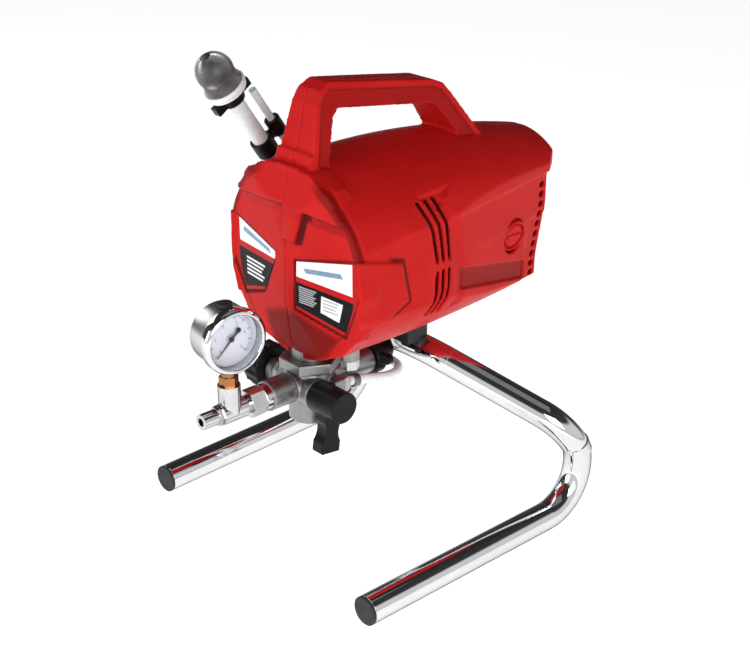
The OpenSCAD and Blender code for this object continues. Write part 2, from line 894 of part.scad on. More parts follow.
module outlet_tee() {
    color("silver") place() difference() {
        union() {
            y_rod(0, outlet_z, -199, -176, 9);
            y_rod(0, outlet_z, -176, -172, 7.5);
            y_rod(0, outlet_z, -172, -164, 5);
            translate([0, tee_y, outlet_z]) cylinder(r = 9.3, h = 24);
        }
        y_rod(0, outlet_z, -200, -163, 3.5);
        translate([0, tee_y, outlet_z]) cylinder(r = 3.5, h = 30);
        translate([0, tee_y, outlet_z + 12]) cylinder(r = 6, h = 30);
    }
}

module hose_nipple() {
    color("silver") place() difference() {
        union() {
            y_rod(0, outlet_z, -217.5, -203, outlet_thread_r);
            y_rod(0, outlet_z, -203, -199, 8.4, 6);
        }
        y_rod(0, outlet_z, -218, -198, 3.5);
    }
}

// ---- pressure gauge, drawn with its face towards +Z and then turned ----

module at_gauge() {
    place() translate([0, tee_y, gauge_z]) rotate([0, 0, gauge_turn]) rotate([90, 0, 90])
        children();
}

module gauge_stem() {
    color("darkgoldenrod") place() translate([0, tee_y, 0]) difference() {
        union() {
            translate([0, 0, outlet_z + 12]) cylinder(r = 6, h = 12);
            translate([0, 0, outlet_z + 24]) cylinder(r = 8, h = 8, $fn = 6);
            translate([0, 0, outlet_z + 32]) cylinder(r = 6, h = 10);
        }
        translate([0, 0, outlet_z]) cylinder(r = 2, h = 60);
    }
}

module gauge_case() {
    color("silver") difference() {
        at_gauge() translate([0, 0, -15]) cylinder(r = gauge_r - 2, h = 27);
        at_gauge() translate([0, 0, -13]) cylinder(r = gauge_r - 3.5, h = 40);
        place() translate([0, tee_y, gauge_z - gauge_r - 5]) cylinder(r = 6, h = 12);
        place() translate([0, tee_y, gauge_z + 10]) cylinder(r = 4, h = 30);
    }
}

module gauge_bezel() {
    color("gainsboro") at_gauge() difference() {
        union() {
            translate([0, 0, 8]) cylinder(r = gauge_r, h = 6);
            translate([0, 0, 14]) cylinder(r1 = gauge_r, r2 = gauge_r - 3, h = 3);
        }
        translate([0, 0, 7]) cylinder(r = gauge_r - 2, h = 5);
        translate([0, 0, 7]) cylinder(r = gauge_r - 5, h = 20);
        translate([0, 0, 12]) cylinder(r = gauge_r - 3.5, h = 2);
    }
}

module gauge_lens() {
    color("azure", 0.3) at_gauge() translate([0, 0, 12]) cylinder(r = gauge_r - 3.5, h = 2);
}

module gauge_dial() {
    color("white") at_gauge() difference() {
        translate([0, 0, -13]) cylinder(r = gauge_r - 3.5, h = 19);
        translate([0, 0, -14]) cylinder(r = gauge_r - 6, h = 19);
        translate([0, 0, 4]) cylinder(r = 1 + run, h = 4);
    }
}

needle_rest = -135;         // the needle's angle at zero pressure

module gauge_needle() {
    color("black") at_gauge() {
        translate([0, 0, 2]) cylinder(r = 1, h = 6);
        translate([0, 0, 8]) cylinder(r = 2.4, h = 1);
        translate([0, 0, 8]) linear_extrude(0.8) rotate(needle_rest)
            polygon([[-9, -1.6], [-9, 1.6], [0, 0.9], [19, 0.2], [19, -0.2], [0, -0.9]]);
    }
}

module filler_plug() {
    color("black") place() translate([0, tee_y, 0]) {
        translate([0, 0, gauge_z + gauge_r - 3.3]) cylinder(r = 4, h = 3);
        translate([0, 0, gauge_z + gauge_r - 1.9]) cylinder(r = 6, h = 3);
    }
}

// ---- stand ----

module stand_frame() {
    color("gainsboro") place()
        bent_bar(stand_route, stand_bends, tube_r, tube_r - tube_wall);
}

module end_caps() {
    color("black") place() for (s = [0, 1]) mirror([s, 0, 0])
        along(stand_route[0], stand_route[0] - stand_route[1]) {
            translate([0, 0, -16]) cylinder(r = tube_r - tube_wall, h = 16);
            cylinder(r = tube_r, h = 2.5);
        }
}

module stand_saddle() {
    color("dimgray") place() difference() {
        box([-12, -2, 147], [12, 22, 212]);
        bent_bar(stand_route, stand_bends, tube_r + 0.05);
        y_rod(0, barrel_z, -30, 60, can_r);
    }
}

left_shell();
right_shell();
housing_screws();
brush_caps();
label_plates();
switch_frame();
switch_rocker();
cord_gland();
motor_can();
stator_core();
field_windings();
bearings();
armature_shaft();
armature_core();
commutator();
carbon_brushes();
cooling_fan();
pinion();
gear_case();
reduction_gear();
crankshaft();
drive_yoke();
piston_rod();
pump_body();
collar_nut();
packing_seal();
pump_bolts();
inlet_ball();
outlet_valve();
outlet_ball();
suction_port();
wing_nut();
suction_elbow();
suction_tube();
strainer_cup();
strainer_ring();
strainer_clip();
tube_clip();
return_tube();
return_hose();
hose_barb();
hose_clamp();
prime_stem();
prime_knob();
regulator_body();
regulator_knob();
regulator_plunger();
swivel_nut();
outlet_tee();
hose_nipple();
gauge_stem();
gauge_case();
gauge_bezel();
gauge_lens();
gauge_dial();
gauge_needle();
filler_plug();
stand_frame();
end_caps();
stand_saddle();
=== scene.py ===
import math

import bmesh
import bpy
import numpy as np
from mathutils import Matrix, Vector


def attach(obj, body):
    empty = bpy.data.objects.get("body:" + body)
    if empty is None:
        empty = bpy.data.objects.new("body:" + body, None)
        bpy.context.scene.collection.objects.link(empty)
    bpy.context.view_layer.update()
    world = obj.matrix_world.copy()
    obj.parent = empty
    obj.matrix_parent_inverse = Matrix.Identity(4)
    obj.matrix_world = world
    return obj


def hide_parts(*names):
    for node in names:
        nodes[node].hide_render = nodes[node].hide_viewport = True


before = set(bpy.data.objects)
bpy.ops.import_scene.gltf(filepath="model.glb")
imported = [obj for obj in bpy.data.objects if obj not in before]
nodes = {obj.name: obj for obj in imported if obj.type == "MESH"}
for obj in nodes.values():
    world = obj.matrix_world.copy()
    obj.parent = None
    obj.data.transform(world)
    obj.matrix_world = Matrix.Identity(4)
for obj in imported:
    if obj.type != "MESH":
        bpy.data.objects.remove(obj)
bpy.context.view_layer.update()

scene = bpy.context.scene
MM = 0.001


def vec(x, y, z):
    return Vector((x * MM, y * MM, z * MM))


# ---------------------------------------------------------------- camera

cam = bpy.data.objects.new("camera", bpy.data.cameras.new("camera"))
scene.collection.objects.link(cam)
cam.location = (0.790, -0.72695, 0.6696)
cam.rotation_euler = (math.radians(90 - 25.14), 0, math.radians(47.29))
cam.data.sensor_width = 36
cam.data.lens = 65.76
cam.data.clip_end = 50
scene.camera = cam

# ---------------------------------------------------------------- axes taken from the CAD

SUCTION = Vector((0, -0.556, 0.831)).normalized()
SIDE = Vector((0, 0.831, 0.556)).normalized()
SUCTION_END = vec(-98, -75.05, 378.3)
RETURN_FOOT = SUCTION_END - 0.090 * SUCTION + 0.019 * SIDE
GAUGE = vec(0, -155.75, 212)
GAUGE_AXIS = Vector((0.992546, -0.121869, 0))

HOSE = [
    (20, -47.25, 142), (20, -33.25, 139.5), (20, -17.25, 135), (19, -1.25, 131),
    (14, 14.75, 128), (4, 25.75, 127), (-12, 28.75, 127), (-34, 24.75, 130),
    (-55, 18.75, 142), (-71, 14.75, 158), (-84, 12.75, 178), (-95, 11.75, 200),
    (-107, 12.75, 222), (-113, 16.75, 240), (-109, 19.75, 264), (-101, 9.75, 290),
]


def spread(points, per):
    """A smooth line through the points, with per steps between neighbours."""
    out = []
    for i in range(len(points) - 1):
        a = points[max(i - 1, 0)]
        b = points[i]
        c = points[i + 1]
        d = points[min(i + 2, len(points) - 1)]
        for k in range(per):
            t = k / per
            out.append(0.5 * (2 * b + (c - a) * t + (2 * a - 5 * b + 4 * c - d) * t * t
                              + (3 * b - a - 3 * c + d) * t ** 3))
    out.append(points[-1])
    return out


# ---------------------------------------------------------------- materials

class Shader:
    """A Principled material with short helpers for its procedural nodes."""

    def __init__(self, name):
        self.m = bpy.data.materials.new(name)
        self.m.use_nodes = True
        self.t = self.m.node_tree
        self.p = self.t.nodes["Principled BSDF"]
        self.co = self.add("ShaderNodeTexCoord").outputs["Object"]

    def add(self, kind, **values):
        n = self.t.nodes.new(kind)
        for key, value in values.items():
            setattr(n, key, value)
        return n

    def link(self, a, b):
        self.t.links.new(a, b)

    def put(self, **values):
        for key, value in values.items():
            self.p.inputs[key.replace("_", " ")].default_value = value
        return self

    def noise(self, scale, detail=3.0, rough=0.5, co=None):
        n = self.add("ShaderNodeTexNoise")
        n.inputs["Scale"].default_value = scale
        n.inputs["Detail"].default_value = detail
        n.inputs["Roughness"].default_value = rough
        self.link(co or self.co, n.inputs["Vector"])
        return n.outputs["Fac"]

    def stretched(self, x, y, z):
        n = self.add("ShaderNodeMapping")
        n.inputs["Scale"].default_value = (x, y, z)
        self.link(self.co, n.inputs["Vector"])
        return n.outputs["Vector"]

    def span(self, value, low, high, lo_in=0.3, hi_in=0.7):
        n = self.add("ShaderNodeMapRange")
        n.inputs["From Min"].default_value = lo_in
        n.inputs["From Max"].default_value = hi_in
        n.inputs["To Min"].default_value = low
        n.inputs["To Max"].default_value = high
        self.link(value, n.inputs["Value"])
        return n.outputs["Result"]

    def ramp(self, value, a, b, lo=0.3, hi=0.7):
        n = self.add("ShaderNodeValToRGB")
        n.color_ramp.elements[0].position = lo
        n.color_ramp.elements[0].color = (*a, 1)
        n.color_ramp.elements[1].position = hi
        n.color_ramp.elements[1].color = (*b, 1)
        self.link(value, n.inputs["Fac"])
        return n.outputs["Color"]

    # Mixes the colour towards a dark one by a mesh attribute; this paints shade into the housing's
    # hollows
    def darkened(self, base, layer, dark):
        a = self.add("ShaderNodeAttribute", attribute_name=layer)
        m = self.add("ShaderNodeMix", data_type="RGBA")
        self.link(a.outputs["Fac"], m.inputs[0])
        self.link(base, m.inputs[6])
        m.inputs[7].default_value = (*dark, 1)
        return m.outputs[2]

    def colour(self, socket):
        self.link(socket, self.p.inputs["Base Color"])
        return self

    def rough(self, socket):
        self.link(socket, self.p.inputs["Roughness"])
        return self

    def bump(self, height, strength, distance, edge=0.0):
        n = self.add("ShaderNodeBump")
        n.inputs["Strength"].default_value = strength
        n.inputs["Distance"].default_value = distance
        self.link(height, n.inputs["Height"])
        if edge:
            b = self.add("ShaderNodeBevel", samples=4)
            b.inputs["Radius"].default_value = edge
            self.link(b.outputs["Normal"], n.inputs["Normal"])
        self.link(n.outputs["Normal"], self.p.inputs["Normal"])
        return self


def plastic(name, low, high, rough, grain=1400, bump=0.06, edge=0.0006, coat=0.0,
            shine=0.5, shaded=False):
    s = Shader(name)
    base = s.ramp(s.noise(28, 4), low, high)
    if shaded:
        # painted shade: the red goes towards deep red where sculpt() wrote shade into the
        # attribute
        base = s.darkened(base, "painted_shade", (0.085, 0.0015, 0.0015))
    s.colour(base)
    s.rough(s.span(s.noise(160, 4), rough - 0.05, rough + 0.06))
    s.bump(s.noise(grain, 2, 0.6), bump, 0.0002, edge)
    s.put(IOR=1.42, Coat_Weight=coat, Coat_Roughness=0.22, Specular_IOR_Level=shine)
    return s.m


def metal(name, low, high, rough, spread_=0.05, grain=900, bump=0.05, edge=0.0005, aniso=None,
          rim=1.0):
    s = Shader(name)
    s.put(Metallic=1.0, Specular_Tint=(rim, rim, rim, 1))
    s.colour(s.ramp(s.noise(35, 4), low, high))
    co = s.stretched(*aniso) if aniso else s.co
    s.rough(s.span(s.noise(220, 4, co=co), max(0.02, rough - spread_), rough + spread_))
    s.bump(s.noise(grain, 3, co=co), bump, 0.0002, edge)
    return s.m


def clear_plastic(name):
    s = Shader(name)
    s.colour(s.ramp(s.noise(40, 3), (0.76, 0.83, 0.83), (0.83, 0.90, 0.90)))
    s.rough(s.span(s.noise(180, 3), 0.20, 0.32))
    s.bump(s.noise(500, 2), 0.06, 0.0003, 0)
    s.put(Transmission_Weight=0.05, IOR=1.45, Coat_Weight=0.3, Coat_Roughness=0.1)
    return s.m


def glass(name):
    s = Shader(name)
    s.colour(s.ramp(s.noise(30), (0.95, 0.97, 0.98), (1.0, 1.0, 1.0)))
    s.rough(s.span(s.noise(90), 0.0, 0.03))
    s.put(Transmission_Weight=1.0, IOR=1.2, Alpha=0.12)
    return s.m


M = {
    "red": plastic("housing_red", (0.480, 0.008, 0.008), (0.540, 0.011, 0.010), 0.42,
        shine=0.1, shaded=True),
    "red_cap": plastic("cap_red", (0.480, 0.008, 0.008), (0.540, 0.011, 0.010), 0.36, shine=0.12),
    "red_dark": plastic("rocker_red", (0.40, 0.01, 0.01), (0.48, 0.014, 0.012), 0.22, coat=0.3),
    "black": plastic("black_plastic", (0.004, 0.004, 0.0045), (0.008, 0.008, 0.009), 0.34,
        grain=900, bump=0.10, shine=0.22),
    "rubber": plastic("black_rubber", (0.014, 0.014, 0.015), (0.026, 0.026, 0.028), 0.62,
        grain=700, bump=0.18),
    "white": plastic("white_moulding", (0.76, 0.76, 0.75), (0.84, 0.84, 0.83), 0.36),
    "film": plastic("label_white", (0.84, 0.84, 0.85), (0.90, 0.90, 0.90), 0.26, bump=0.02,
        edge=0),
    "film_black": plastic("label_black", (0.006, 0.006, 0.007), (0.010, 0.010, 0.011), 0.35,
        bump=0.02, edge=0, shine=0.12),
    "film_red": plastic("label_red", (0.46, 0.008, 0.010), (0.52, 0.012, 0.014), 0.35,
        bump=0.02, edge=0, shine=0.12),
    "film_grey": plastic("label_grey", (0.42, 0.44, 0.46), (0.52, 0.54, 0.56), 0.28, bump=0.02,
        edge=0),
    "film_blue": plastic("label_blue", (0.16, 0.28, 0.42), (0.22, 0.34, 0.48), 0.28, bump=0.02,
        edge=0),
    "dial": plastic("dial_white", (0.66, 0.67, 0.76), (0.72, 0.73, 0.81), 0.30, bump=0.02,
        edge=0),
    "tick": plastic("dial_marks", (0.06, 0.08, 0.13), (0.09, 0.11, 0.17), 0.40, bump=0.02,
        edge=0),
    # near-black lining round the dial: painted shadow in the gap between dial and bezel
    "painted_shadow_ring": plastic("dial_painted_shadow", (0.05, 0.05, 0.055), (0.08, 0.08, 0.085), 0.40, bump=0.02,
        edge=0),
    "needle": plastic("needle_black", (0.010, 0.010, 0.010), (0.02, 0.02, 0.02), 0.35,
        bump=0.02, edge=0),
    "cast": metal("cast_alloy", (0.25, 0.255, 0.25), (0.34, 0.34, 0.335), 0.40, 0.08,
        grain=1100, bump=0.22, edge=0.0009),
    "chrome": metal("chrome_plate", (0.70, 0.71, 0.73), (0.77, 0.78, 0.79), 0.05, 0.03,
        grain=60, bump=0.01, rim=0.12),
    "nickel": metal("nickel_fitting", (0.58, 0.58, 0.58), (0.68, 0.68, 0.68), 0.13, 0.05,
        grain=300, bump=0.03, rim=0.2),
    "zinc": metal("zinc_steel", (0.52, 0.53, 0.55), (0.64, 0.65, 0.66), 0.30, 0.08, grain=700,
        bump=0.08),
    "steel": metal("ground_steel", (0.50, 0.50, 0.51), (0.62, 0.62, 0.63), 0.24, 0.08,
        grain=900, bump=0.08, aniso=(1, 8, 1)),
    "case": metal("gauge_steel", (0.66, 0.67, 0.69), (0.70, 0.71, 0.72), 0.30, 0.015,
        grain=400, bump=0.02, aniso=(8, 1, 1), rim=0.15),
    "brass": metal("brass_fitting", (0.34, 0.14, 0.05), (0.46, 0.21, 0.08), 0.24, 0.07,
        grain=500, bump=0.05),
    "copper": metal("copper_wire", (0.48, 0.20, 0.09), (0.60, 0.28, 0.13), 0.33, 0.08,
        grain=900, bump=0.3, aniso=(1, 12, 1)),
    "iron": metal("laminated_iron", (0.16, 0.16, 0.165), (0.24, 0.24, 0.245), 0.42, 0.08,
        grain=900, bump=0.4, aniso=(0.1, 3, 0.1)),
    "mesh": metal("strainer_wire", (0.30, 0.30, 0.30), (0.44, 0.44, 0.43), 0.34, 0.08,
        grain=900, bump=0.1, edge=0),
    "mesh_back": metal("strainer_cloth", (0.10, 0.10, 0.10), (0.17, 0.17, 0.165), 0.42, 0.08,
        grain=2400, bump=0.6, edge=0),
    "carbon": plastic("carbon", (0.03, 0.03, 0.03), (0.05, 0.05, 0.05), 0.5, bump=0.2),
    "clear": clear_plastic("clear_hose"),
    "glass": glass("gauge_glass"),
}

CAD_FINISH = {
    "housing_screws": "zinc", "brush_caps": "red_cap", "switch_frame": "black",
    "switch_rocker": "red_dark", "cord_gland": "rubber", "motor_can": "zinc",
    "stator_core": "iron", "field_windings": "copper", "bearings": "steel",
    "armature_shaft": "steel", "armature_core": "iron", "commutator": "copper",
    "carbon_brushes": "carbon", "cooling_fan": "black", "pinion": "steel",
    "gear_case": "cast", "reduction_gear": "steel", "crankshaft": "steel",
    "drive_yoke": "steel", "piston_rod": "chrome", "pump_body": "cast",
    "collar_nut": "cast", "packing_seal": "white", "pump_bolts": "zinc",
    "inlet_ball": "steel", "outlet_valve": "cast", "outlet_ball": "steel",
    "suction_port": "cast", "wing_nut": "black", "suction_elbow": "black",
    "suction_tube": "clear", "strainer_ring": "white", "strainer_clip": "black",
    "tube_clip": "black", "return_tube": "clear", "hose_barb": "nickel",
    "hose_clamp": "iron", "prime_stem": "steel", "prime_knob": "black",
    "regulator_body": "cast", "regulator_knob": "black", "regulator_plunger": "steel",
    "swivel_nut": "nickel", "outlet_tee": "nickel", "hose_nipple": "nickel",
    "gauge_stem": "brass", "gauge_case": "case", "gauge_bezel": "chrome",
    "gauge_lens": "glass", "gauge_dial": "dial", "gauge_needle": "needle",
    "filler_plug": "rubber", "stand_frame": "chrome", "end_caps": "rubber",
    "stand_saddle": "rubber", "left_shell": "red", "right_shell": "red",
    "label_plates": "film", "strainer_cup": "mesh_back", "return_hose": "clear",
}
for node, finish in CAD_FINISH.items():
    mesh = nodes[node].data
    mesh.materials.clear()
    mesh.materials.append(M[finish])


# ---------------------------------------------------------------- mesh helpers

def piece(name, mesh, body, slot, *replaced):
    """A visible object that rides a body and may stand in for CAD nodes."""
    o = bpy.data.objects.new(name, mesh)
    scene.collection.objects.link(o)
    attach(o, body)
    if replaced:
        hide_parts(*replaced)
    return o


def smooth(mesh, angle=32):
    """Smooth shading with hard edges above the angle in degrees, all normals outward."""
    bm = bmesh.new()
    bm.from_mesh(mesh)
    bmesh.ops.recalc_face_normals(bm, faces=bm.faces)
    for f in bm.faces:
        f.smooth = True
    for e in bm.edges:
        e.smooth = len(e.link_faces) == 2 and e.calc_face_angle(0) < math.radians(angle)
    bm.to_mesh(mesh)
    bm.free()


def basis(axis, hint=Vector((0, 0, 1))):
    w = Vector(axis).normalized()
    if abs(w.dot(hint)) > 0.98:
        hint = Vector((0, 1, 0))
    u = hint.cross(w).normalized()
    return u, w.cross(u), w


def lathe(name, profile, origin, axis, mats, segs=96, picks=None):
    """Closed surface turned about axis from (radius, height) points in mm."""
    u, v, w = basis(axis)
    bm = bmesh.new()
    rows = []
    for r, h in profile:
        if r < 1e-6:
            rows.append([bm.verts.new(origin + w * h * MM)])
        else:
            rows.append([bm.verts.new(origin + w * h * MM + (
                u * math.cos(2 * math.pi * k / segs) + v * math.sin(2 * math.pi * k / segs)
            ) * r * MM) for k in range(segs)])
    closed = profile[0][0] > 1e-6
    last = len(rows) if closed else len(rows) - 1
    for i in range(last):
        a, b = rows[i], rows[(i + 1) % len(rows)]
        for k in range(segs):
            n = (k + 1) % segs
            if len(a) == 1 and len(b) == 1:
                continue
            if len(a) == 1:
                f = bm.faces.new((a[0], b[n], b[k]))
            elif len(b) == 1:
                f = bm.faces.new((a[k], a[n], b[0]))
            else:
                f = bm.faces.new((a[k], a[n], b[n], b[k]))
            f.material_index = picks[i] if picks else 0
    mesh = bpy.data.meshes.new(name)
    bm.to_mesh(mesh)
    bm.free()
    for m in mats:
        mesh.materials.append(M[m])
    smooth(mesh)
    return mesh


def prism(name, outline, low, high, place, mat):
    """Closed prism: outline points (a, b) and heights low to high, put in space by place()."""
    bm = bmesh.new()
    bottom = [bm.verts.new(place(a, b, low)) for a, b in outline]
    top = [bm.verts.new(place(a, b, high)) for a, b in outline]
    bm.faces.new(bottom[::-1])
    bm.faces.new(top)
    for i in range(len(outline)):
        j = (i + 1) % len(outline)
        bm.faces.new((bottom[i], bottom[j], top[j], top[i]))
    mesh = bpy.data.meshes.new(name)
    bm.to_mesh(mesh)
    bm.free()
    mesh.materials.append(M[mat])
    smooth(mesh)
    return mesh


def merged(name, meshes):
    """One mesh from several, each face keeping its material."""
    bm = bmesh.new()
    mats = []
    for m in meshes:
        part = bmesh.new()
        part.from_mesh(m)
        for f in part.faces:
            mat = m.materials[f.material_index]
            if mat not in mats:
                mats.append(mat)
            f.material_index = mats.index(mat)
        temp = bpy.data.meshes.new("temp")
        part.to_mesh(temp)
        part.free()
        bm.from_mesh(temp)
        bpy.data.meshes.remove(temp)
        bpy.data.meshes.remove(m)
    mesh = bpy.data.meshes.new(name)
    bm.to_mesh(mesh)
    bm.free()
    for m in mats:
        mesh.materials.append(m)
    return mesh


# ---------------------------------------------------------------- return hose

route = [vec(*p) for p in HOSE] + [RETURN_FOOT]
line = spread(route, 6)
curve = bpy.data.curves.new("return_hose_soft", "CURVE")
curve.dimensions = "3D"
spline = curve.splines.new("POLY")
spline.points.add(len(line) - 1)
for point, p in zip(spline.points, line):
    point.co = (*p, 1)
curve.bevel_depth = 0.0042
curve.bevel_resolution = 6
curve.use_fill_caps = True
curve.materials.append(M["clear"])
hose = bpy.data.objects.new("return_hose_soft", curve)
scene.collection.objects.link(hose)
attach(hose, "frame")
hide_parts("return_hose")


# ---------------------------------------------------------------- housing

def distance_to(points, outline, closed=True):
    """Distance in mm to an outline in the plane, negative inside when closed."""
    best = np.full(len(points), 1e9)
    inside = np.zeros(len(points), bool)
    count = len(outline) if closed else len(outline) - 1
    for i in range(count):
        a = np.array(outline[i], float)
        b = np.array(outline[(i + 1) % len(outline)], float)
        ab = b - a
        t = np.clip(((points - a) @ ab) / (ab @ ab), 0, 1)
        best = np.minimum(best, np.linalg.norm(points - a - t[:, None] * ab, axis=1))
        if closed:
            cross = (a[1] > points[:, 1]) != (b[1] > points[:, 1])
            with np.errstate(divide="ignore", invalid="ignore"):
                x = a[0] + (points[:, 1] - a[1]) * ab[0] / (ab[1] if ab[1] else 1e-9)
            inside ^= cross & (points[:, 0] < x)
    return np.where(inside, -best, best) if closed else best


def step(value, width):
    """0 at and below 0, 1 from width on, smooth between."""
    t = np.clip(value / width, 0, 1)
    return t * t * (3 - 2 * t)


LABEL_R = [(10.5, 262.5), (86, 280), (85, 268), (78, 243), (64, 209), (9, 219)]
LABEL_L = [(-92, 283), (-14, 263), (-14, 256), (-31, 221), (-63, 209), (-85, 250)]
LUG = [(1.5, 312), (22.5, 312), (21.5, 303), (13.0, 277), (-2, 278.5)]
SIDE_PANEL = [(-96, 282), (-41, 266), (-33, 231), (-96, 203)]
STEP_RIDGE = [(4, 306), (4, 295), (13, 277), (21, 245), (22, 212), (20, 205)]
CHIN = [(-36, 208), (-6, 219), (9, 219), (62, 209), (46, 184), (12, 164), (-26, 178)]
CREASE_LINES = [[(59, 210), (50, 198), (43, 190)]]
NOTCH = [(-15, 309), (27, 311), (3, 294)]
BARREL_Z = 254          # height of the motor axis
FACE_Y = -95.25         # the fascia at the middle plane
FACE_SLOPE = 0.122      # how far it leans back per mm of x
BROW_Z = 306.3          # lower edge of the raised brow at the middle plane
BROW_SLOPE = 0.072
BROW_RISE = 3.2
LABEL_SINK = 1.3
LABEL_TOP_Z = 275
TAIL_Y = 128            # the tail draws in behind this
TAIL_DRAW = 9
REAR_PANEL = [(29, 240), (142, 211), (142, 193), (30, 220)]
HANDLE_TOP = [(-86.25, 318), (-72.25, 383), (-67.25, 393), (-57.25, 399), (52.75, 382),
              (64.75, 377), (72.75, 368), (114.75, 314)]


def band(value, low, high, soft=0.8):
    """1 between low and high, falling off to 0 over soft at each end."""
    return step(value - low + soft, soft) * step(high + soft - value, soft)


def behind(points, line):
    """How far y lies past a line of (y, z) points at the same height."""
    zs = np.array([p[1] for p in line[::-1]], float)
    ys = np.array([p[0] for p in line[::-1]], float)
    return points[:, 0] - np.interp(points[:, 1], zs, ys)


def crease_shade(points):
    """Shade along the crease lines of the fascia, on both halves."""
    out = np.zeros(len(points))
    for line in CREASE_LINES:
        for s in (-1, 1):
            near = distance_to(points, [(s * a, b) for a, b in line], closed=False)
            out = np.maximum(out, 0.6 * step(1.7 - near, 1.4))
    return out


def sculpt(mesh):
    """Raises and sinks the moulded details along the surface's own normals, and paints shade into
    their grooves, recesses and edges as a colour attribute.
    """
    count = len(mesh.vertices)
    co = np.zeros(count * 3, np.float32)
    mesh.vertices.foreach_get("co", co)
    co = co.reshape(-1, 3).astype(float)
    no = np.zeros(count * 3, np.float32)
    mesh.vertices.foreach_get("normal", no)
    no = no.reshape(-1, 3).astype(float)
    x, y, z = (co * 1000).T
    side = np.sign(x)
    out = no[:, 0] * side
    around = np.hypot(x, z - BARREL_Z)
    radial = (no[:, 0] * x + no[:, 2] * (z - BARREL_Z)) / np.maximum(1, around)
    move = np.zeros(count)      # mm along the normal
    # painted shade: how far each vertex's red is darkened
    dark = np.zeros(count)      # 0 plain red to 1 deep shade
    xz = np.column_stack([x, z])
    yz = np.column_stack([y, z])
    # fascia: brow and lug, label recesses, creases, chin; painted shade along the rim, beside the
    # lug, under the brow, at the label edges, on the creases and on the chin
    front = (no[:, 1] < -0.8) & (y < -80)
    lug = -distance_to(xz[front], LUG)
    brow = z[front] - (BROW_Z - BROW_SLOPE * np.abs(x[front]))
    raised = np.maximum(lug, brow)
    move[front] += BROW_RISE * step(raised + 0.9, 1.8)
    right_of_lug = (x[front] > 8) & (x[front] < 30) & (z[front] > 276)
    dark[front] = np.maximum(0.8 * band(raised, -1.6, -0.2),
                             right_of_lug * band(raised, -5.6, -0.2))
    below_brow = np.where(x[front] > 22, 0.36, 0.14) * band(brow, -8.0, -0.2)
    dark[front] = np.maximum(dark[front], below_brow)
    strip = step(around[front] - 75.5, 2.4) * step(z[front] - 277, 2)
    strip *= step(np.abs(x[front]) - 26, 14)
    dark[front] = np.maximum(dark[front], 0.62 * strip)
    for outline in (LABEL_R, LABEL_L):
        deep = -distance_to(xz[front], outline)
        move[front] -= LABEL_SINK * step(deep, 1.2)
        dark[front] = np.maximum(dark[front], 0.9 * band(deep, -0.3, 1.6))
    dark[front] = np.maximum(dark[front], crease_shade(xz[front]))
    chin = (no[:, 1] < -0.5) & (z < 222) & (y < -70)
    dark[chin] = np.maximum(dark[chin], 0.72 * step(-distance_to(xz[chin], CHIN), 7))
    # flanks: side panel, notch above the air slots, ridge behind them; painted shade at the
    # panel's edge and along the ridge
    flank = (out > 0.35) & (np.abs(x) > 40) & (radial > 0.3)
    panel = -distance_to(yz[flank], SIDE_PANEL)
    move[flank] += 2.2 * step(panel, 1.6)
    dark[flank] = 0.85 * band(panel, -2.6, 0.3) * step(y[flank] + 58, 8)
    notch = -distance_to(yz[flank], NOTCH)
    move[flank] -= 2.0 * step(notch, 2.5)
    ridge = behind(yz[flank], STEP_RIDGE)
    below = step(304 - z[flank], 4) * step(z[flank] - 205, 4)
    move[flank] -= 1.8 * step(ridge, 1.6) * step(16 - ridge, 12) * below
    dark[flank] = np.maximum(dark[flank], 0.6 * band(ridge, 0.2, 1.8) * below)
    # shaded side of the fascia plate above the labels
    deep = y - FACE_Y - FACE_SLOPE * np.abs(x)
    edge = (no[:, 1] > -0.93) & (z > 256) & (z < 334) & (np.abs(x) > 26) & (deep < 14)
    span = step(z[edge] - LABEL_TOP_Z, 3) * step(332 - z[edge], 10)
    dark[edge] = np.maximum(dark[edge], 0.66 * band(deep[edge], -6, 4.5) * span)
    move[edge] -= 1.0 * band(deep[edge], 2.0, 6.0, 1.6) * span
    # the tail draws in towards its lower edge
    tail = step(y - TAIL_Y, 14) * step(262 - z, 60) * TAIL_DRAW
    # sunk band along the lower edge of the tail, with painted shade over it
    low = flank & (z < 244)
    rear = -distance_to(yz[low], REAR_PANEL)
    move[low] -= 2.4 * step(rear, 1.6)
    dark[low] = np.maximum(dark[low], 0.55 * step(rear + 0.4, 1.2))
    # sunk side face of the carry handle, with painted shade on it and along its edge
    grip = (out > 0.6) & (z > 322) & (np.abs(x) < 26)
    groove = distance_to(yz[grip], HANDLE_TOP, closed=False) - 5.5
    move[grip] -= 1.3 * step(groove, 1.4)
    dark[grip] = 0.42 * step(groove, 1.4) + 0.4 * band(groove, -0.4, 1.2)
    co += no * (move * MM)[:, None]
    co[:, 1] -= tail * MM
    mesh.vertices.foreach_set("co", co.astype(np.float32).ravel())
    layer = mesh.attributes.new("painted_shade", "FLOAT", "POINT")
    layer.data.foreach_set("value", np.clip(dark, 0, 1).astype(np.float32))
    mesh.update()


def applied(o):
    deps = bpy.context.evaluated_depsgraph_get()
    mesh = bpy.data.meshes.new_from_object(o.evaluated_get(deps))
    o.modifiers.clear()
    old = o.data
    o.data = mesh
    bpy.data.meshes.remove(old)
    return o


def remeshed(node, name, body, slot, voxel):
    """An evenly meshed copy of a CAD node, in the node's place."""
    o = piece(name, nodes[node].data.copy(), body, slot, node)
    bm = bmesh.new()
    bm.from_mesh(o.data)
    bmesh.ops.remove_doubles(bm, verts=bm.verts, dist=1e-6)
    bm.to_mesh(o.data)
    bm.free()
    m = o.modifiers.new("remesh", "REMESH")
    m.mode = "VOXEL"
    m.voxel_size = voxel
    return applied(o)


def softened(o, factor, passes):
    m = o.modifiers.new("soften", "SMOOTH")
    m.factor = factor
    m.iterations = passes
    return applied(o)


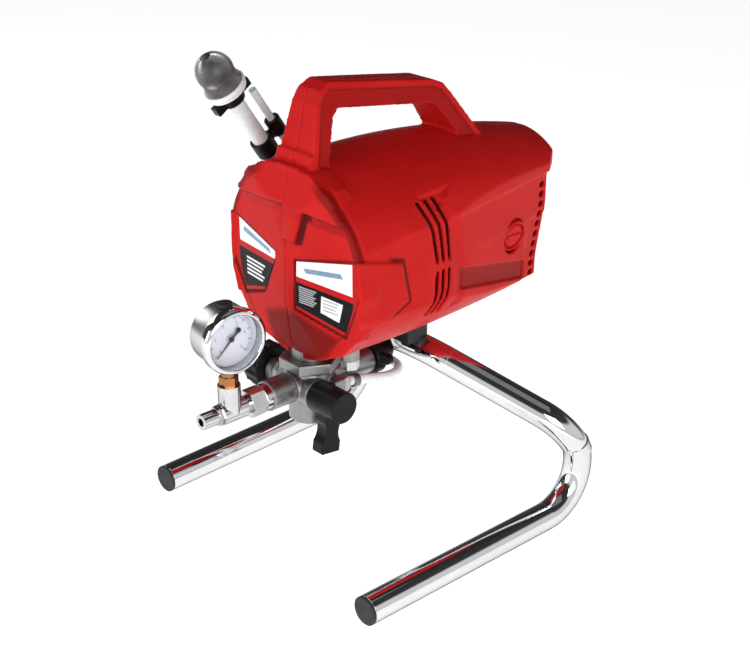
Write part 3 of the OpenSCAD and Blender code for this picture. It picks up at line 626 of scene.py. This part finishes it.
def finished(o, finish):
    for p in o.data.polygons:
        p.use_smooth = True
    o.data.materials.clear()
    o.data.materials.append(M[finish])


def soft_shell(node, name):
    """A housing half with rounded edges and its moulded details."""
    o = remeshed(node, name, "frame", "red_plastic", 0.0012)
    softened(o, 0.5, 4)
    sculpt(o.data)
    softened(o, 0.4, 1)
    finished(o, "red")


soft_shell("left_shell", "housing_left")
soft_shell("right_shell", "housing_right")


# ---------------------------------------------------------------- rounded castings and mouldings

def rounded(node, name, body, slot, finish, voxel):
    """Replaces a CAD node with the same shape, its edges rounded over."""
    o = remeshed(node, name, body, slot, voxel)
    softened(o, 0.5, 4)
    finished(o, finish)


ROUNDED = [
    ("pump_body", "pump_casting", "frame", "cast_alloy", "cast", 0.0008),
    ("outlet_valve", "valve_casting", "frame", "cast_alloy", "cast", 0.0007),
    ("suction_port", "port_casting", "frame", "cast_alloy", "cast", 0.0007),
    ("regulator_body", "regulator_casting", "frame", "cast_alloy", "cast", 0.0007),
    ("collar_nut", "collar_casting", "frame", "cast_alloy", "cast", 0.0006),
    ("prime_knob", "prime_handle", "prime", "black_plastic", "black", 0.0006),
    ("regulator_knob", "pressure_knob", "regulator", "black_plastic", "black", 0.0006),
    ("wing_nut", "wing_screw", "wing", "black_plastic", "black", 0.0005),
    ("suction_elbow", "elbow_moulding", "frame", "black_plastic", "black", 0.0006),
    ("strainer_clip", "strainer_catch", "frame", "black_plastic", "black", 0.0005),
    ("tube_clip", "tube_catch", "frame", "black_plastic", "black", 0.0005),
    ("strainer_ring", "strainer_collar", "frame", "seal_white", "white", 0.0005),
    ("stand_saddle", "saddle_block", "frame", "black_plastic", "rubber", 0.0008),
    ("end_caps", "leg_plugs", "frame", "black_rubber", "rubber", 0.0007),
]
for row in ROUNDED:
    rounded(*row)

# brush covers: a rim, a groove and a raised grip bar on each side
CAP_RINGS = [(0, 52.7), (14.6, 52.7), (14.6, 59.4), (14.0, 60.2), (12.9, 60.4), (12.1, 59.6),
             (11.6, 57.4), (10.6, 57.2), (10.2, 58.8), (9.4, 59.4), (0, 59.4)]
covers = []
BRUSH_TURN = math.radians(12)      # the brushes point this far below the horizontal
BRUSH_Y = 111.75
for s in (1, -1):
    out_axis = Vector((s * math.cos(BRUSH_TURN), 0, -math.sin(BRUSH_TURN)))
    up_axis = Vector((s * math.sin(BRUSH_TURN), 0, math.cos(BRUSH_TURN)))
    hub = vec(0, BRUSH_Y, BARREL_Z)
    covers.append(lathe("cover", CAP_RINGS, hub, out_axis, ["red_cap"], 72))
    covers.append(prism("grip", [(-8, -1.6), (8, -1.6), (8, 1.6), (-8, 1.6)], 59.0, 60.4,
                        lambda a, b, h: hub + (Vector((0, 1, 0)) * a + up_axis * b
                                               + out_axis * h) * MM, "red_cap"))
piece("brush_covers", merged("brush_covers", covers), "frame", "red_plastic", "brush_caps")


# ---------------------------------------------------------------- labels

def on_face(x, z, h):
    """Point on the sloping fascia, h mm in front of it."""
    s = 1 if x >= 0 else -1
    return vec(x + s * h * 0.121, FACE_Y + abs(x) * 0.12195 - h * 0.9926, z)


def label(name, art):
    parts = []
    for outline, low, high, mat in art:
        parts.append(prism("art", outline, low, high, on_face, mat))
    return piece(name, merged(name, parts), "frame", "label_film", "label_plates")


def rows_of(x1, x2, z1, z2, count, mat, base):
    """Ragged plain bars in place of lines of text."""
    out = []
    pitch = (z1 - z2) / count
    for i in range(count):
        top = z1 - i * pitch
        end = x2 - (x2 - x1) * (0.06 + 0.22 * ((i * 7) % 5) / 5)
        out.append(([(x1, top), (end, top), (end, top - pitch * 0.5), (x1, top - pitch * 0.5)],
                    base, base + 0.14, mat))
    return out


art_r = [
    ([(12.0, 260.9), (77.8, 275.0), (76.8, 266.0), (73.6, 246.5), (11.3, 248.2)],
     -1.25, -0.75, "film"),
    ([(11.3, 248.2), (73.6, 246.5), (73.0, 243.0), (61.8, 211.2), (10.3, 220.2)],
     -1.25, -0.76, "film_black"),
    ([(11.3, 248.2), (74.2, 246.5), (72.6, 241.3), (11.1, 243.6)], -0.75, -0.62, "film_red"),
    ([(11.1, 243.6), (72.6, 241.3), (62.6, 214.0), (10.4, 222.6)], -0.75, -0.64, "film_black"),
    ([(10.4, 222.6), (62.6, 214.0), (61.6, 211.5), (10.3, 220.4)], -0.75, -0.60, "film_red"),
    ([(38, 238.5), (60.5, 237.3), (56.5, 221.0), (37.0, 224.0)], -0.66, -0.50, "film"),
    ([(19, 257.0), (58, 262.5), (61, 258.8), (22, 253.4)], -0.76, -0.62, "film_blue"),
]
art_r += rows_of(14, 34, 240.5, 225.5, 8, "film_grey", -0.66)
art_r += rows_of(40, 57, 236.5, 225.0, 4, "film_grey", -0.52)
art_l = [
    ([(-78.4, 276.6), (-15.4, 261.4), (-15.4, 256.2), (-16.4, 254.6), (-76.2, 254.6),
      (-77.4, 262)], -1.25, -0.75, "film"),
    ([(-76.2, 254.6), (-16.4, 254.6), (-31.8, 222.4), (-61.8, 211.2), (-74.6, 243)],
     -1.25, -0.76, "film_black"),
    ([(-16.4, 254.6), (-76.2, 254.6), (-75.2, 249.4), (-18.8, 249.4)], -0.75, -0.62, "film_red"),
    ([(-18.8, 249.4), (-75.2, 249.4), (-63.0, 216.4), (-33.0, 225.4)], -0.75, -0.64, "film_black"),
    ([(-33.2, 224.6), (-62.8, 215.6), (-61.8, 212.4), (-32.2, 222.8)], -0.75, -0.62, "film_red"),
    ([(-24, 261.0), (-62, 268.8), (-64.5, 264.6), (-22, 257.6)], -0.76, -0.62, "film_blue"),
]
art_l += rows_of(-60, -30, 243.5, 226.0, 5, "film", -0.66)
label("label_right", art_r)
label("label_left", art_l)


# ---------------------------------------------------------------- gauge

gu = Vector((0.121869, 0.992546, 0))
gv = Vector((0, 0, 1))


def on_dial(a, b, h):
    return GAUGE + (gu * a + gv * b + GAUGE_AXIS * h) * MM


def polar(r, deg):
    return (r * math.cos(math.radians(deg)), r * math.sin(math.radians(deg)))


SCALE_START = 225       # degrees on the dial, falling clockwise
SCALE_SWEEP = 270
TICKS = 45
dial = [lathe("dial", [(0, 4.6), (23.6, 4.6), (23.6, 6.0), (0, 6.0)], GAUGE, GAUGE_AXIS, ["dial"])]
for i in range(TICKS + 1):
    deg = SCALE_START - SCALE_SWEEP * i / TICKS
    major = i % 5 == 0
    inner = 16.2 if major else 17.8
    half = 0.42 if major else 0.22
    across = Vector(polar(1, deg + 90))
    a, b = Vector(polar(inner, deg)), Vector(polar(19.6, deg))
    dial.append(prism("tick", [tuple(a - across * half), tuple(b - across * half),
                               tuple(b + across * half), tuple(a + across * half)],
                      5.95, 6.08, on_dial, "tick"))
for start, stop, radius in ((-45, 225, 20.4), (0, 360, 3.0)):
    steps = 90
    ring_in = [polar(radius, start + (stop - start) * i / steps) for i in range(steps + 1)]
    ring_out = [polar(radius + 0.35, start + (stop - start) * i / steps) for i in range(steps + 1)]
    for i in range(steps):
        dial.append(prism("arc", [ring_in[i], ring_out[i], ring_out[i + 1], ring_in[i + 1]],
                          5.95, 6.07, on_dial, "tick"))
for i, word in enumerate("012345"):
    deg = SCALE_START - SCALE_SWEEP * i / 5
    text = bpy.data.curves.new("number", "FONT")
    text.body = word
    text.size = 4.0
    text.align_x = "CENTER"
    text.align_y = "CENTER"
    text.extrude = 0.05
    holder = bpy.data.objects.new("number", text)
    scene.collection.objects.link(holder)
    bpy.context.view_layer.update()
    mesh = bpy.data.meshes.new_from_object(
        holder.evaluated_get(bpy.context.evaluated_depsgraph_get()))
    bpy.data.objects.remove(holder)
    cx, cy = polar(13.2, deg)
    for vert in mesh.vertices:
        vert.co = on_dial(vert.co.x + cx, vert.co.y + cy, 6.03 + vert.co.z)
    mesh.materials.clear()
    mesh.materials.append(M["tick"])
    dial.append(mesh)
# dark lining inside the case round the dial: painted shadow in the gap under the bezel
dial.append(lathe("painted_shadow_ring", [(23.7, 6.0), (24.0, -12.8), (21.5, -12.8), (21.5, 4.6), (23.6, 4.6)],
                  GAUGE, GAUGE_AXIS, ["painted_shadow_ring"]))
piece("gauge_face", merged("gauge_face", dial), "frame", "dial_white", "gauge_dial")

case = lathe("gauge_body", [
    (0, -15), (20, -15), (24.2, -14.4), (25.3, -13.0), (25.5, -11), (25.5, 4), (25.3, 5.5),
    (25.5, 6.5), (25.5, 12), (24, 12), (24, -13), (0, -13)], GAUGE, GAUGE_AXIS, ["case"], 128)
piece("gauge_body", case, "frame", "gauge_steel", "gauge_case")
bezel = lathe("gauge_rim", [
    (25.52, 8), (27.1, 8), (27.5, 8.5), (27.5, 13.6), (27.2, 14.6), (26.4, 15.8), (25.2, 16.7),
    (24.4, 17.0), (23.6, 16.8), (22.9, 16.0), (22.5, 14.5), (22.5, 14.02), (25.52, 14.02)],
    GAUGE, GAUGE_AXIS, ["chrome"], 128)
piece("gauge_rim", bezel, "frame", "chrome_plate", "gauge_bezel")

needle = []
arm = [(-9.5, -1.3), (-9.5, 1.3), (-3, 0.9), (0, 0.9),
       (19, 0.22), (19, -0.22), (0, -0.9), (-3, -0.9)]
turned = []
for a, b in arm:
    r, t = math.hypot(a, b), math.atan2(b, a) + math.radians(-135)
    turned.append((r * math.cos(t), r * math.sin(t)))
needle.append(prism("arm", turned, 8.0, 8.6, on_dial, "needle"))
hub_rings = [(0, 2.2), (0.95, 2.2), (0.95, 7.9), (2.3, 7.9), (2.4, 8.6), (1.9, 9.0), (0, 9.1)]
bulb_rings = [(0, 8.0), (2.2, 8.0), (2.2, 8.6), (0, 8.6)]
bulb = on_dial(*polar(9.0, 45), 0)
needle.append(lathe("hub", hub_rings, on_dial(0, 0, 0), GAUGE_AXIS, ["needle"], 48))
needle.append(lathe("bulb", bulb_rings, bulb, GAUGE_AXIS, ["needle"], 32))
piece("gauge_pointer", merged("gauge_pointer", needle), "needle", "needle_black", "gauge_needle")


# ---------------------------------------------------------------- strainer

DOME_R = 15.8
DOME_Z = 15             # the dome's centre, from the end of the suction tube
WIRE_GAP = 1.15
WIRES_AROUND = 72
cup = [(16.8, 0.2), (16.2, 2.0), (15.5, 4.6), (15.1, 7.2), (15.0, 9.2), (15.2, 10.4)]
cup += [(DOME_R * math.cos(math.radians(t)), DOME_Z + DOME_R * math.sin(math.radians(t)))
        for t in range(-10, 86, 6)]
inner = [(0, 30.8), (0, 29.6), (cup[-1][0] - 1.2, cup[-1][1] - 0.4), (13.9, 15), (13.9, 0.2)]
back = lathe("strainer_cloth", cup + inner, SUCTION_END, SUCTION, ["mesh_back"], 72)
piece("strainer_cloth", back, "frame", "strainer_mesh", "strainer_cup")

u, v, w = basis(SUCTION)
bm = bmesh.new()
fine = []
for (r1, h1), (r2, h2) in zip(cup, cup[1:]):
    n = max(1, round(math.hypot(r2 - r1, h2 - h1) / WIRE_GAP))
    fine += [(r1 + (r2 - r1) * k / n, h1 + (h2 - h1) * k / n) for k in range(n)]
fine = [(r, h) for r, h in fine if r > 1.6]
net = []
for r, h in fine:
    ring = []
    for k in range(WIRES_AROUND):
        turn = 2 * math.pi * k / WIRES_AROUND
        out = u * math.cos(turn) + v * math.sin(turn)
        ring.append(bm.verts.new(SUCTION_END + w * h * MM + out * (r + 0.12) * MM))
    net.append(ring)
for a, b in zip(net, net[1:]):
    for k in range(WIRES_AROUND):
        n = (k + 1) % WIRES_AROUND
        bm.faces.new((a[k], a[n], b[n], b[k]))
mesh = bpy.data.meshes.new("strainer_net")
bm.to_mesh(mesh)
bm.free()
mesh.materials.append(M["mesh"])
net_piece = piece("strainer_net", mesh, "frame", "strainer_mesh")
wire = net_piece.modifiers.new("wires", "WIREFRAME")
wire.thickness = 0.00042
wire.use_even_offset = False
wire.offset = 0
applied(net_piece)

# ---------------------------------------------------------------- floor and light

bm = bmesh.new()
bmesh.ops.create_grid(bm, x_segments=2, y_segments=2, size=6)
floor_mesh = bpy.data.meshes.new("floor")
bm.to_mesh(floor_mesh)
bm.free()
floor = bpy.data.objects.new("floor", floor_mesh)
scene.collection.objects.link(floor)
floor.location = (0, 0, -0.0002)
s = Shader("floor_paper")
s.colour(s.ramp(s.noise(3), (0.90, 0.90, 0.90), (0.93, 0.93, 0.93)))
s.put(Roughness=0.9, Emission_Strength=0.78)
s.p.inputs["Emission Color"].default_value = (1, 1, 1, 1)
floor_mesh.materials.append(s.m)

world = bpy.data.worlds.new("studio")
scene.world = world
world.use_nodes = True
t = world.node_tree
bg = t.nodes["Background"]
co = t.nodes.new("ShaderNodeTexCoord")
sep = t.nodes.new("ShaderNodeSeparateXYZ")
ramp = t.nodes.new("ShaderNodeValToRGB")
t.links.new(co.outputs["Generated"], sep.inputs[0])
t.links.new(sep.outputs["Z"], ramp.inputs["Fac"])
aim = t.nodes.new("ShaderNodeVectorMath")
aim.operation = "DOT_PRODUCT"
aim.inputs[1].default_value = (0.95, -0.31, 0.0)
t.links.new(co.outputs["Generated"], aim.inputs[0])
side = t.nodes.new("ShaderNodeMapRange")
side.inputs["From Min"].default_value = -0.15
side.inputs["From Max"].default_value = 0.15
side.inputs["To Min"].default_value = 0.05
t.links.new(aim.outputs["Value"], side.inputs["Value"])
both = t.nodes.new("ShaderNodeMix")
both.data_type = "RGBA"
both.inputs[6].default_value = (0.035, 0.035, 0.035, 1)
t.links.new(side.outputs["Result"], both.inputs[0])
t.links.new(ramp.outputs["Color"], both.inputs[7])
t.links.new(both.outputs[2], bg.inputs["Color"])
stops = [(0.0, 0.6), (0.05, 0.95), (0.45, 0.95), (0.56, 0.06), (1.0, 0.04)]
while len(ramp.color_ramp.elements) < len(stops):
    ramp.color_ramp.elements.new(0.5)
for element, (place, value) in zip(ramp.color_ramp.elements, stops):
    element.position = place
    element.color = (value, value, value, 1)
bg.inputs["Strength"].default_value = 0.8


def area(name, place, aim, size, power):
    light = bpy.data.lights.new(name, "AREA")
    light.shape = "RECTANGLE"
    light.size, light.size_y = size
    light.energy = power
    o = bpy.data.objects.new(name, light)
    scene.collection.objects.link(o)
    o.location = place
    o.rotation_euler = (Vector(aim) - Vector(place)).to_track_quat("-Z", "Y").to_euler()
    return o


area("key", (1.7, -0.9, 0.9), (0, 0, 0.22), (1.0, 1.0), 18)
area("front", (-0.5, -2.0, 0.7), (0, 0, 0.22), (1.2, 1.0), 15)
area("left", (-1.7, -0.5, 1.1), (-0.1, -0.1, 0.2), (0.9, 0.9), 6)
area("top", (0.3, 0.2, 2.2), (0, 0, 0.2), (1.6, 1.6), 1.5)

scene.view_settings.view_transform = "Standard"
scene.view_settings.look = "None"
scene.view_settings.exposure = 0.0
